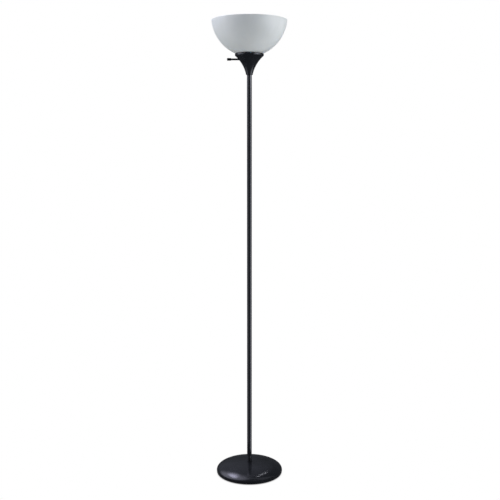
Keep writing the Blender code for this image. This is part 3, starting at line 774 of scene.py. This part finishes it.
def make_cord_bushing():
    """Turned about Y: a flanged sleeve with a round lip and a groove in its face."""
    low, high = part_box("cord_bushing")
    inner_end, outer_end = low.y, high.y
    flange = (high.x - low.x) / 2
    seat = outer_end - 2 * MM
    sleeve = 4.0 * MM
    bore = 2.9 * MM
    outline = rounded(
        [
            (flange - 0.5 * MM, outer_end, 0.7 * MM),
            (flange, seat, 0.2 * MM),
            (sleeve, seat),
            (sleeve, inner_end, 0.4 * MM),
            (bore, inner_end, 0.3 * MM),
            (bore, outer_end, 0.5 * MM),
            (4.0 * MM, outer_end, 0.15 * MM),
            (4.2 * MM, outer_end - 0.35 * MM, 0.15 * MM),
            (4.6 * MM, outer_end - 0.35 * MM, 0.15 * MM),
            (4.8 * MM, outer_end, 0.15 * MM),
        ]
    )
    place = Matrix.Translation((0, 0, LEAD_BASE_HEIGHT)) @ Matrix.Rotation(-math.pi / 2, 4, "X")
    shape = revolve(outline, SMALL_TURN)
    add_piece("cord_bushing", shape, PLASTIC, place)


def make_nut(node):
    """A hexagon nut, chamfered top and bottom, with a plain round hole."""
    low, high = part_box(node)
    across_flats = high.x - low.x
    corner = (high.y - low.y) / 2
    hole = NIPPLE_HOLE_RADIUS
    chamfer = 0.8 * MM
    face = across_flats / 2 - 0.3 * MM
    outline = [(hole + 0.5 * MM, high.z), (face, high.z), (corner, high.z - chamfer)]
    outline += [(corner, low.z + chamfer), (face, low.z), (hole + 0.5 * MM, low.z)]
    outline += side(hole, low.z + 0.4 * MM, high.z - 0.4 * MM, THREAD_PITCH / 6)
    shape = revolve(outline, 120, hexagon(across_flats, hole + 1 * MM))
    add_piece(node, shape, ZINC)


def make_washers():
    """The plain washers of the base and the holder."""
    hole = NIPPLE_HOLE_RADIUS
    for node in ("base_washer", "holder_washer"):
        radius, bottom, top = extent(node)
        outline = rounded(
            [
                (radius, top, 0.35 * MM),
                (radius, bottom, 0.15 * MM),
                (hole, bottom, 0.15 * MM),
                (hole, top, 0.35 * MM),
            ]
        )
        add_piece(node, revolve(outline), ZINC)


def make_lock_washer():
    """The base's toothed washer: a plain ring inside, twisted teeth outside."""
    hole = NIPPLE_HOLE_RADIUS
    radius, bottom, top = extent("base_lock_washer")
    middle = hole + 1.4 * MM
    outline = [(radius, top), (radius, bottom), (middle, bottom), (hole, bottom)]
    outline += [(hole, top), (middle, top)]
    relief = teeth(LOCK_WASHER_TEETH, 1.6 * MM, 0.25 * MM, middle + 0.1 * MM)
    shape = revolve(outline, LOCK_WASHER_TEETH * 18, relief)
    add_piece("base_lock_washer", shape, ZINC)


def make_base_nipple():
    radius, bottom, top = extent("base_nipple")
    chamfer = 0.5 * MM
    outline = [(NIPPLE_BORE, top), (radius - chamfer, top)]
    outline += side(radius, top - chamfer, bottom + chamfer, THREAD_PITCH / 8)
    outline += [(radius - chamfer, bottom), (NIPPLE_BORE, bottom)]
    relief = thread(THREAD_PITCH, 0.45 * MM, bottom, top, radius - 0.1 * MM)
    add_piece("base_nipple", revolve(outline, SMALL_TURN, relief), ZINC)


def make_base():
    make_base_cover()
    make_base_plate()
    make_feet()
    make_cord_bushing()
    make_nut("base_nut")
    make_washers()
    make_lock_washer()
    make_base_nipple()


# ---------------------------------------------------------------- pole and holder


def make_pole():
    """Tubes with rounded ends, so that the joints between them show as hairlines."""
    for number in range(1, TUBE_COUNT + 1):
        node = f"pole_tube_{number}"
        radius, bottom, top = extent(node)
        inner = radius - TUBE_WALL
        outline = [(radius, top, 0.3 * MM)]
        outline += side(radius, top - 1 * MM, bottom + 1 * MM, 40 * MM)
        outline += [(radius, bottom, 0.3 * MM), (inner, bottom, 0.2 * MM), (inner, top, 0.2 * MM)]
        add_piece(node, revolve(rounded(outline)), PAINT_POLE)


def flare_centre(rim_radius):
    """The centre of the arc that the trumpet's side follows, out in the air beside the lamp."""
    foot = Vector((HOLDER_FOOT_RADIUS, HOLDER_FOOT_HEIGHT))
    rim = Vector((rim_radius, HOLDER_BAND_BOTTOM))
    chord = rim - foot
    outwards = Vector((chord.y, -chord.x)).normalized()
    return (foot + rim) / 2 + outwards * math.sqrt(HOLDER_FLARE_RADIUS**2 - (chord.length / 2) ** 2)


def flare_side(centre, distance, top, bottom, count):
    """The trumpet's side between two levels, at a distance from the arc's centre."""
    points = []
    for i in range(count + 1):
        height = top + (bottom - top) * i / count
        reach = math.sqrt(distance**2 - (height - centre.y) ** 2)
        points.append((centre.x - reach, height))
    return points


def make_shade_holder():
    """The trumpet: a round-edged band, a flared side, a rolled foot and the web that carries it."""
    radius, bottom, top = extent("shade_holder")
    inner = radius - HOLDER_WALL
    centre = flare_centre(radius)
    hole = NIPPLE_HOLE_RADIUS
    inner_top = HOLDER_BAND_BOTTOM + 0.8 * MM
    outline = [
        (inner + 0.4 * MM, top, 0.3 * MM),
        (radius, top, 0.6 * MM),
        (radius, HOLDER_BAND_BOTTOM, 0.6 * MM),
    ]
    outline += flare_side(
        centre, HOLDER_FLARE_RADIUS, HOLDER_BAND_BOTTOM - 1.6 * MM, HOLDER_FOOT_HEIGHT, 56
    )
    outline += [
        (HOLDER_FOOT_RADIUS - 0.3 * MM, bottom, 2.2 * MM),
        (HOLDER_SLEEVE, bottom, 0.3 * MM),
        (HOLDER_SLEEVE, HOLDER_WEB_BOTTOM),
        (hole, HOLDER_WEB_BOTTOM),
        (hole, HOLDER_WEB_TOP),
    ]
    outline += flare_side(centre, HOLDER_FLARE_RADIUS + HOLDER_WALL, HOLDER_WEB_TOP, inner_top, 40)
    outline.append((inner, inner_top + 1.2 * MM, 0.5 * MM))
    start = (-20 * MM, 0, SWITCH_HEIGHT)
    end = (-60 * MM, 0, SWITCH_HEIGHT)
    shaft_hole = (SHAFT_RADIUS + 0.8 * MM, start, end)
    shape = revolve(rounded(outline), LARGE_TURN)
    add_piece("shade_holder", shape, PLASTIC, holes=[shaft_hole])


# ---------------------------------------------------------------- socket and switch


def make_socket_body():
    """The threaded moulding: a chamber for the switch below and a cup for the screw shell above."""
    radius, bottom, top = extent("socket_body")
    outline = [(0, PARTITION_TOP), (SOCKET_BORE, PARTITION_TOP)]
    outline += rounded(
        [
            (SOCKET_BORE, PARTITION_TOP + 5 * MM),
            (SOCKET_BORE, top, 0.8 * MM),
            (radius - 0.6 * MM, top, 0.6 * MM),
            (radius - 0.5 * MM, top - 2 * MM),
        ]
    )
    outline += side(radius, top - 2.2 * MM, SOCKET_SHOULDER + 3 * MM, 0.25 * MM)
    outline += rounded(
        [
            (radius - 0.3 * MM, SOCKET_SHOULDER + 2.6 * MM),
            (SOCKET_RADIUS, SOCKET_SHOULDER, 0.5 * MM),
            (SOCKET_RADIUS, bottom, 0.3 * MM),
            (CHAMBER_RADIUS, bottom, 0.3 * MM),
            (CHAMBER_RADIUS, PARTITION_BOTTOM),
            (0, PARTITION_BOTTOM),
        ]
    )
    thread_bottom = SOCKET_SHOULDER + 2.8 * MM
    relief = thread(SOCKET_PITCH, 0.9 * MM, thread_bottom, top - 1.9 * MM, radius - 0.2 * MM)
    shaft_end = (-30 * MM, 0, SWITCH_HEIGHT)
    shaft_hole = (SHAFT_RADIUS + 0.6 * MM, (-12 * MM, 0, SWITCH_HEIGHT), shaft_end)
    rivet_foot = (CONTACT_HINGE_X, 0, PARTITION_BOTTOM - 6 * MM)
    rivet_hole = (1.3 * MM, rivet_foot, (CONTACT_HINGE_X, 0, PARTITION_TOP + 6 * MM))
    shape = revolve(outline, ROUND_TURN, relief, closed=False)
    add_piece("socket_body", shape, PHENOLIC, holes=[shaft_hole, rivet_hole])


def make_screw_shell():
    """The metal cup that a bulb screws into: rolled thread, flared mouth, floor with a hole."""
    _, bottom, top = extent("screw_shell")
    thread_bottom = bottom + 2.5 * MM
    thread_top = top - 1.5 * MM
    outer = [(SHELL_RADIUS + 0.5 * MM, top - SHELL_WALL / 2)]
    outer += side(SHELL_RADIUS, top - 1.2 * MM, thread_bottom, 0.3 * MM)
    floor = [(SHELL_RADIUS, thread_bottom), (SHELL_RADIUS, bottom, 1.2 * MM), (7.6 * MM, bottom)]
    outer += rounded(floor)[1:]
    wave = thread(SHELL_PITCH, 0.75 * MM, thread_bottom, thread_top, SHELL_RADIUS - 1.0 * MM)
    shape = revolve(walled(outer, SHELL_WALL), ROUND_TURN, wave)
    add_piece("screw_shell", shape, BRASS)


def notches(count, half_angle, depth, level):
    """Spanner notches in the rim above a level."""

    def relief(angle, radius, height):
        off = (angle + math.pi / count) % (FULL_TURN / count) - math.pi / count
        if height < level or abs(off) > half_angle:
            return radius, height
        return radius, height - depth

    return relief


def make_shade_ring():
    """The ring that clamps the shade: knurled collar, spanner notches and a round flange."""
    radius, bottom, top = extent("shade_ring")
    collar = RING_COLLAR_RADIUS
    hole = RING_HOLE_RADIUS
    flange_top = bottom + 3 * MM
    outline = [(hole + 0.6 * MM, top), (collar - 0.5 * MM, top, 0.3 * MM)]
    outline += side(collar, top - 0.8 * MM, flange_top + 0.4 * MM, 0.6 * MM)
    outline += [
        (collar, flange_top, 0.5 * MM),
        (radius, flange_top, 0.6 * MM),
        (radius, bottom, 0.3 * MM),
        (hole, bottom, 0.3 * MM),
        (hole, top - 0.6 * MM),
    ]
    knurl = flutes(64, 0.5 * MM, flange_top + 0.3 * MM, top - 0.6 * MM, collar - 0.1 * MM)
    relief = both(knurl, notches(4, math.radians(7), 1.8 * MM, top - 0.7 * MM))
    shape = revolve(rounded(outline), 384, relief)
    add_piece("shade_ring", shape, PLASTIC)


def make_centre_contact():
    """The sprung leaf under the bulb, with a round tail at its rivet and a raised, rounded tip."""
    path = rounded(
        [
            (LEAF_TAIL, 0),
            (-1.7 * MM, 0, 1.2 * MM),
            (-6.0 * MM, 4.2 * MM, 1.0 * MM),
            (-LEAF_TIP, 4.4 * MM),
        ],
        8,
    )
    fine = []
    for first, last in zip(path, path[1:]):
        fine += [tuple(Vector(first).lerp(Vector(last), k / 4)) for k in range(4)]
    fine.append(path[-1])
    full = LEAF_HALF_WIDTH
    widths = []
    for along, _ in fine:
        tail = LEAF_TAIL + LEAF_END_MARGIN - along
        tip = along + LEAF_TIP + LEAF_END_MARGIN
        near = min(tail, tip, full)
        widths.append(math.sqrt(max(full**2 - (full - near) ** 2, 0.0)) + LEAF_END_MARGIN)
    place = Matrix.Translation((CONTACT_HINGE_X, 0, LEAF_HEIGHT))
    shape = ribbon(fine, widths, LEAF_THICKNESS)
    foot = (CONTACT_HINGE_X, 0, LEAF_HEIGHT - 2 * MM)
    hole = (1.5 * MM, foot, (CONTACT_HINGE_X, 0, LEAF_HEIGHT + 2 * MM))
    add_piece("centre_contact", shape, BRASS, place, body="contact", holes=[hole])


def make_contact_rivet():
    """A solid rivet with a domed head above and below."""
    low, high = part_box("contact_rivet")
    head = (high.x - low.x) / 2
    head_bottom = high.z - 0.7 * MM
    foot_top = low.z + 0.8 * MM
    outline = arc((0, head_bottom), (head, 0.7 * MM), 90, 0, 8)
    outline += [(1.0 * MM, head_bottom), (1.0 * MM, foot_top)]
    outline += arc((0, foot_top), (head, 0.8 * MM), 0, -90, 8)
    outline[0] = (0, high.z)
    outline[-1] = (0, low.z)
    place = Matrix.Translation((CONTACT_HINGE_X, 0, 0))
    add_piece("contact_rivet", revolve(outline, 48, closed=False), BRASS, place)


def switch_place():
    """Turns what is built about Z with heights as distances out so that it points along -X."""
    return Matrix.Translation((0, 0, SWITCH_HEIGHT)) @ Matrix.Rotation(-math.pi / 2, 4, "Y")


def distances_out(node):
    """How far from the pole's axis a node of the switch starts and ends."""
    low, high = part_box(node)
    return -high.x, -low.x


def make_switch_knob():
    """The knob's flutes stop short of its round nose and of its waist at the shaft."""
    low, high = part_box("switch_knob")
    radius = (high.z - low.z) / 2
    inner_end, outer_end = distances_out("switch_knob")
    _, shaft_end = distances_out("switch_shaft")
    bore = SHAFT_RADIUS + 0.3 * MM
    outline = [(0, outer_end), (radius - 1.6 * MM, outer_end - 0.15 * MM, 1.2 * MM)]
    outline.append((radius, outer_end - 1.6 * MM, 1.0 * MM))
    outline += side(radius, outer_end - 3 * MM, inner_end + 4 * MM, 0.5 * MM)
    outline += [
        (radius - 0.1 * MM, inner_end + 3 * MM, 1.0 * MM),
        (radius - 0.6 * MM, inner_end, 0.3 * MM),
        (bore, inner_end, 0.2 * MM),
        (bore, shaft_end + 0.3 * MM),
        (0, shaft_end + 0.3 * MM),
    ]
    grip = flutes(20, 0.45 * MM, inner_end + 4.2 * MM, outer_end - 3.2 * MM, radius - 0.05 * MM)
    shape = revolve(rounded(outline), 240, grip, closed=False)
    add_piece("switch_knob", shape, SWITCH_PLASTIC, switch_place(), "switch")


def make_switch_shaft():
    shaft_start, shaft_end = distances_out("switch_shaft")
    outline = rounded(
        [
            (0, shaft_end),
            (SHAFT_RADIUS, shaft_end, 0.3 * MM),
            (SHAFT_RADIUS, shaft_start, 0.3 * MM),
            (0, shaft_start),
        ]
    )
    shape = revolve(outline, 48, closed=False)
    add_piece("switch_shaft", shape, SWITCH_PLASTIC, switch_place(), "switch")


# ---------------------------------------------------------------- shade


def make_shade():
    """An elliptical bowl with a round lip, a soft corner round its flat seat and a central hole."""
    _, flat, top = extent("shade")
    rim = top - SHADE_WALL / 2
    rim_angle = math.degrees(math.asin((rim - SHADE_CENTRE_HEIGHT) / SHADE_DEPTH))
    flat_angle = math.degrees(math.asin((flat - SHADE_CENTRE_HEIGHT) / SHADE_DEPTH))
    radii = (SHADE_HALF_WIDTH, SHADE_DEPTH)
    bowl = arc((0, SHADE_CENTRE_HEIGHT), radii, rim_angle, flat_angle, 72)
    corner = (*bowl[-1], 3.0 * MM)
    outer = rounded(bowl[:-1] + [corner, (SHADE_HOLE_RADIUS + 9 * MM, flat)])
    outer.append((SHADE_HOLE_RADIUS + SHADE_WALL / 2, flat))
    shape = revolve(walled(outer, SHADE_WALL), LARGE_TURN)
    add_piece("shade", shape, SHADE_PLASTIC)


def make_head():
    make_shade_holder()
    make_nut("holder_nut")
    make_socket_body()
    make_screw_shell()
    make_shade_ring()
    make_centre_contact()
    make_contact_rivet()
    make_switch_knob()
    make_switch_shaft()
    make_shade()


def dress_cad_nodes():
    """The CAD nodes that are still shown keep their shapes and take the fine finishes."""
    for subpart in frame["record"]["subparts"]:
        node = frame["nodes"][subpart["node"]]
        if not node.hide_render:
            node.data.materials.clear()
            node.data.materials.append(SLOT_MATERIALS[subpart["material_slot"]])


# ---------------------------------------------------------------- studio


def emptied(owner):
    """The cleared node tree of a world or a material."""
    owner.use_nodes = True
    owner.node_tree.nodes.clear()
    return Tree(owner.node_tree)


def hide_from(obj, *rays):
    """Makes an object invisible to those kinds of ray."""
    for ray in rays:
        setattr(obj, f"visible_{ray}", False)


def side_panel(tree, azimuth, height, centre, half_width, edge):
    """A wide soft panel that stands low at one side and is strongest along its top edge."""
    off = tree.maths("ABSOLUTE", tree.maths("SUBTRACT", azimuth, math.radians(centre)))
    across = tree.remap(off, math.radians(half_width + edge), math.radians(half_width))
    above_foot = tree.remap(height, PANEL_FOOT[0], PANEL_FOOT[1])
    below_top = tree.remap(height, PANEL_TOP[1], PANEL_TOP[0], PANEL_SPILL, 1.0)
    upright = tree.maths("MULTIPLY", above_foot, below_top)
    stronger = tree.remap(height, STRIP_FOOT[0], STRIP_FOOT[1], 1.0, STRIP_GAIN)
    return tree.maths("MULTIPLY", across, tree.maths("MULTIPLY", upright, stronger))


def aligned(tree, direction, axis):
    """How far a direction leans along an axis."""
    return tree.add("VectorMath", {0: direction, 1: axis}, 1, operation="DOT_PRODUCT")


def lobe(tree, direction, towards, inner, outer):
    """A round glow about a direction, full inside the inner angle and gone at the outer one."""
    alike = aligned(tree, direction, Vector(towards).normalized())
    return tree.remap(alike, math.cos(math.radians(outer)), math.cos(math.radians(inner)))


def oval(tree, direction, towards, along, length, width):
    """An oval glow, fading from its middle to its rim; it is longer towards another direction."""
    middle = Vector(towards).normalized()
    long_axis = (Vector(along) - middle * middle.dot(Vector(along))).normalized()
    short_axis = middle.cross(long_axis)
    lengthwise = aligned(tree, direction, long_axis / math.sin(math.radians(length)))
    sideways = aligned(tree, direction, short_axis / math.sin(math.radians(width)))
    squares = [tree.maths("MULTIPLY", value, value) for value in (lengthwise, sideways)]
    distance = tree.maths("SQRT", tree.maths("ADD", *squares))
    ahead = tree.maths("GREATER_THAN", aligned(tree, direction, middle), 0.0)
    return tree.maths("MULTIPLY", ahead, tree.remap(distance, 1.0, 0.25))


def make_world():
    """White to the camera; to the lamp, a dim room with low side panels and a softbox overhead."""
    world = bpy.data.worlds.new("studio")
    bpy.context.scene.world = world
    tree = emptied(world)
    direction = tree.add("TexCoord", output="Generated")
    parts = tree.tree.nodes.new("ShaderNodeSeparateXYZ")
    tree.link(direction, parts.inputs[0])
    across, away, height = parts.outputs
    azimuth = tree.maths("ARCTAN2", across, tree.maths("MULTIPLY", away, -1.0))
    gain = tree.remap(away, -0.6, 0.6, ROOM_FRONT_GAIN, ROOM_BACK_GAIN)
    light = tree.scaled(ROOM_COLOUR, gain)
    sources = [(side_panel(tree, azimuth, height, *panel), colour) for *panel, colour in PANELS]
    softbox = oval(tree, direction, SOFTBOX_TOWARDS, SOFTBOX_ALONG, *SOFTBOX_SIZE)
    sources.append((softbox, SOFTBOX_COLOUR))
    sources += [(lobe(tree, direction, *glow), colour) for *glow, colour in GLOWS]
    for strength, colour in sources:
        light = tree.summed(light, tree.scaled(colour, strength))
    room = tree.add("Background", {"Color": light})
    backdrop = tree.add("Background", {"Color": (1.0, 1.0, 1.0, 1.0)})
    seen = tree.add("LightPath", output="Is Camera Ray")
    shown = tree.add("MixShader", {0: seen, 1: room, 2: backdrop})
    output = tree.tree.nodes.new("ShaderNodeOutputWorld")
    tree.link(shown, output.inputs["Surface"])


def make_fill_light(name, azimuth, lowness, energy):
    """A soft light, low at one side, that lights matt surfaces and doesn't show in glossy ones."""
    light = bpy.data.lights.new(name, "AREA")
    light.size = FILL_SIZE
    light.energy = energy
    light.color = (0.97, 0.985, 1.0)
    fill = bpy.data.objects.new(name, light)
    turn = math.radians(azimuth)
    drop = math.radians(lowness)
    towards = Vector((math.sin(turn), -math.cos(turn), -math.tan(drop))).normalized()
    place = Matrix.Translation(Vector((0, 0, FILL_AIM)) + towards * FILL_DISTANCE)
    fill.matrix_world = place @ towards.to_track_quat("Z", "Y").to_matrix().to_4x4()
    hide_from(fill, "camera", "glossy")
    bpy.context.scene.collection.objects.link(fill)


def make_tube_light():
    """A thin overhead strip, whose streak shows on the base."""
    light = bpy.data.lights.new("tube_light", "AREA")
    light.shape = "RECTANGLE"
    light.size, light.size_y = TUBE_LIGHT_SIZE
    light.energy = TUBE_LIGHT_ENERGY
    light.color = (0.95, 0.97, 1.0)
    tube = bpy.data.objects.new("tube_light", light)
    start, end = map(Vector, TUBE_LIGHT_ENDS)
    facing = Matrix.Rotation(math.atan2(-(end - start).x, (end - start).y), 4, "Z")
    tube.matrix_world = Matrix.Translation((start + end) / 2) @ facing
    hide_from(tube, "camera")
    bpy.context.scene.collection.objects.link(tube)


def floor_material():
    """White, with a faint shade where the lamp stands; clear from below."""
    material = bpy.data.materials.new("floor")
    tree = emptied(material)
    openness = tree.add("AmbientOcclusion", {"Distance": CONTACT_SHADE_REACH}, "AO")
    white = tree.add("Emission", {"Strength": tree.remap(openness, 0.0, 0.7, 0.3, 1.0)})
    clear = tree.add("BsdfTransparent")
    below = tree.add("NewGeometry", output="Backfacing")
    shown = tree.add("MixShader", {0: below, 1: white, 2: clear})
    output = tree.tree.nodes.new("ShaderNodeOutputMaterial")
    tree.link(shown, output.inputs["Surface"])
    return material


def make_floor():
    """A plain white floor that throws no light on the lamp."""
    shape = bmesh.new()
    bmesh.ops.create_grid(shape, x_segments=1, y_segments=1, size=FLOOR_HALF_WIDTH)
    floor = new_object("floor", shape)
    floor.data.materials.append(floor_material())
    floor.location.z = -0.2 * MM
    hide_from(floor, "diffuse", "glossy", "transmission", "shadow")


def make_flag():
    """A dark dish round the base, seen only in reflections: it keeps the panels off the base's
    side. It stands off centre, so that its wall is nearest on the right.
    """
    material = bpy.data.materials.new("flag")
    tree = emptied(material)
    dim = tree.add("Emission", {"Color": FLAG_COLOUR})
    output = tree.tree.nodes.new("ShaderNodeOutputMaterial")
    tree.link(dim, output.inputs["Surface"])
    shape = revolve([(0, 0), (FLAG_RADIUS, 0), (FLAG_RADIUS, FLAG_HEIGHT)], closed=False)
    flag = new_object("flag", shape)
    flag.data.materials.append(material)
    flag.location.x = FLAG_SHIFT
    hide_from(flag, "camera", "diffuse", "transmission", "shadow")


def make_camera():
    data = bpy.data.cameras.new("camera")
    data.lens = CAMERA_LENS
    camera = bpy.data.objects.new("camera", data)
    camera.location = CAMERA_PLACE
    camera.rotation_euler = (math.radians(90 - CAMERA_DROP), 0, 0)
    bpy.context.scene.collection.objects.link(camera)
    bpy.context.scene.camera = camera


make_camera()
make_base()
make_pole()
make_head()
dress_cad_nodes()
make_world()
make_tube_light()
for fill in FILLS:
    make_fill_light(*fill)
make_floor()
make_flag()
bpy.context.scene.view_settings.view_transform = "Standard"
